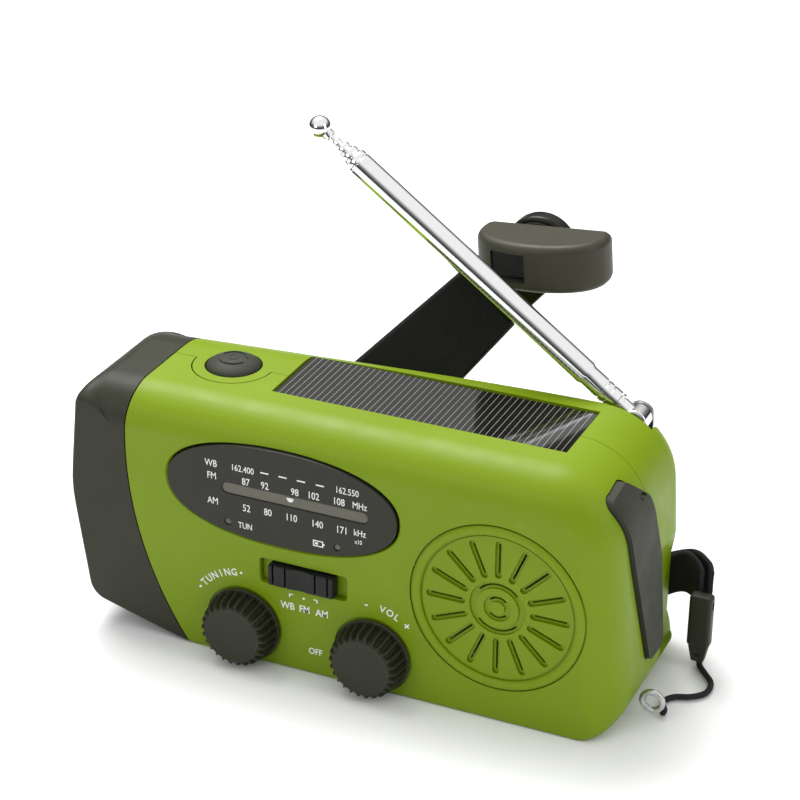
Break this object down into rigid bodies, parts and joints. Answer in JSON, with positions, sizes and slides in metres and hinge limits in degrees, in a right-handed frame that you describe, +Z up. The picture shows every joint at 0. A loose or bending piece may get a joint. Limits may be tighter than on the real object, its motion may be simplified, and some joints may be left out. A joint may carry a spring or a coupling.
{
  "type": "emergency radio",
  "caption": "Hand-crank emergency radio in a two-part case with torch end, solar panel, swinging telescopic antenna, tuning and volume knobs, speaker and wrist strap.",
  "frame": {"origin": "centre of the flat bottom of the case", "axes": "+Z up, X along the case towards the port end, -Y faces the user"},
  "size_m": [0.1408, 0.0766, 0.1125],
  "materials": {
    "lime": "soft-touch lime green plastic",
    "charcoal": "matte warm charcoal plastic",
    "black_plastic": "satin black plastic",
    "rubber": "dark matte rubber",
    "chrome": "bright chrome plating",
    "steel": "plain steel",
    "clear": "clear polished plastic",
    "white_plastic": "natural white plastic",
    "brass": "bare brass",
    "board": "green circuit board",
    "solar": "glossy dark cells",
    "paper": "black speaker paper",
    "copper": "varnished copper wire",
    "webbing": "black woven nylon"
  },
  "bodies": {
    "case": {"front_shell": "lime", "rear_shell": "lime", "torch_cap": "charcoal", "strap_clasp": "charcoal", "dial_plate": "black_plastic", "torch_switch": "black_plastic", "ferrite_rod": "black_plastic", "headphone_socket": "black_plastic", "torch_reflector": "chrome", "speaker_frame": "steel", "speaker_magnet": "steel", "generator": "steel", "gear_plate": "steel", "antenna_bracket": "steel", "antenna_pin": "steel", "volume_control": "steel", "band_switch": "steel", "battery_cell": "steel", "usb_socket": "steel", "case_screw_1": "steel", "case_screw_2": "steel", "case_screw_3": "steel", "strap_eyelet": "steel", "torch_lens": "clear", "dial_lens": "clear", "torch_led_1": "clear", "torch_led_2": "clear", "torch_led_3": "clear", "tune_led": "clear", "charge_led": "clear", "tuning_capacitor": "white_plastic", "battery_contact_1": "brass", "battery_contact_2": "brass", "led_board": "board", "circuit_board": "board", "solar_panel": "solar", "speaker_cone": "paper", "ferrite_coil": "copper", "strap_webbing": "webbing", "strap_cord": "webbing"},
    "crank_rotor": {"crank_hub": "black_plastic", "crank_hinge_pin": "steel", "crank_gear": "white_plastic"},
    "crank": {"crank_arm": "black_plastic"},
    "grip": {"crank_knob": "charcoal"},
    "step_up": {"step_up_gear": "white_plastic"},
    "dynamo_rotor": {"generator_pinion": "brass"},
    "antenna_base": {"antenna_knuckle": "chrome", "antenna_section_1": "chrome"},
    "antenna_2": {"antenna_section_2": "chrome"},
    "antenna_3": {"antenna_section_3": "chrome"},
    "antenna_4": {"antenna_section_4": "chrome"},
    "antenna_5": {"antenna_section_5": "chrome"},
    "tuning": {"tuning_knob": "charcoal"},
    "pointer": {"dial_pointer": "white_plastic"},
    "volume": {"volume_knob": "charcoal"},
    "band": {"band_slider": "black_plastic"},
    "button": {"torch_button": "rubber"},
    "flap": {"port_flap": "rubber"},
    "door": {"battery_door": "lime"}
  },
  "joints": [
    {"name": "crank_spin", "type": "hinge", "parent": "case", "child": "crank_rotor", "pos_m": [-0.0204, 0.0185, 0.035], "axis": [0, -1, 0], "continuous": true},
    {"name": "crank_fold", "type": "hinge", "parent": "crank_rotor", "child": "crank", "pos_m": [-0.0204, 0.0185, 0.035], "axis": [-0.7443, 0, 0.6678], "range_deg": [0, 95]},
    {"name": "grip_spin", "type": "hinge", "parent": "crank", "child": "grip", "pos_m": [0.01903, 0.04551, 0.07895], "axis": [0, -1, 0], "continuous": true},
    {"name": "step_up_spin", "type": "hinge", "parent": "case", "child": "step_up", "pos_m": [-0.00741, 0.004, 0.0275], "axis": [0, -1, 0], "continuous": true},
    {"name": "dynamo_spin", "type": "hinge", "parent": "case", "child": "dynamo_rotor", "pos_m": [-0.00392, 0.004, 0.04054], "axis": [0, -1, 0], "continuous": true},
    {"name": "antenna_swing", "type": "hinge", "parent": "case", "child": "antenna_base", "pos_m": [0.052, 0.0183, 0.056], "axis": [0, 1, 0], "range_deg": [-36.1, 90]},
    {"name": "antenna_slide_2", "type": "slide", "parent": "antenna_base", "child": "antenna_2", "axis": [-0.808, 0, 0.5892], "range_m": [0, 0.066]},
    {"name": "antenna_slide_3", "type": "slide", "parent": "antenna_2", "child": "antenna_3", "axis": [-0.808, 0, 0.5892], "range_m": [0, 0.066]},
    {"name": "antenna_slide_4", "type": "slide", "parent": "antenna_3", "child": "antenna_4", "axis": [-0.808, 0, 0.5892], "range_m": [0, 0.066]},
    {"name": "antenna_slide_5", "type": "slide", "parent": "antenna_4", "child": "antenna_5", "axis": [-0.808, 0, 0.5892], "range_m": [0, 0.066]},
    {"name": "tuning_turn", "type": "hinge", "parent": "case", "child": "tuning", "pos_m": [-0.022, -0.0225, 0.009], "axis": [0, 1, 0], "range_deg": [-150, 170]},
    {"name": "pointer_slide", "type": "slide", "parent": "case", "child": "pointer", "axis": [1, 0, 0], "range_m": [-0.0147, 0.0167]},
    {"name": "volume_turn", "type": "hinge", "parent": "case", "child": "volume", "pos_m": [0.009, -0.0225, 0.009], "axis": [0, 1, 0], "range_deg": [0, 300]},
    {"name": "band_slide", "type": "slide", "parent": "case", "child": "band", "axis": [1, 0, 0], "range_m": [-0.0023, 0.0023]},
    {"name": "button_press", "type": "slide", "parent": "case", "child": "button", "axis": [0, 0, -1], "range_m": [0, 0.001], "stiffness_N_per_m": 600, "springref_m": -0.0005},
    {"name": "flap_open", "type": "hinge", "parent": "case", "child": "flap", "pos_m": [0.0657, 0.00425, 0.02], "axis": [0, 0, 1], "range_deg": [0, 60]},
    {"name": "door_release", "type": "slide", "parent": "case", "child": "door", "axis": [0, 1, 0], "range_m": [0, 0.02]}
  ],
  "couplings": [
    {"joint": "step_up_spin", "follows": "crank_spin", "ratio": -2.3333},
    {"joint": "dynamo_spin", "follows": "crank_spin", "ratio": 4.6667},
    {"joint": "pointer_slide", "follows": "tuning_turn", "m_per_rad": 0.0055684}
  ]
}
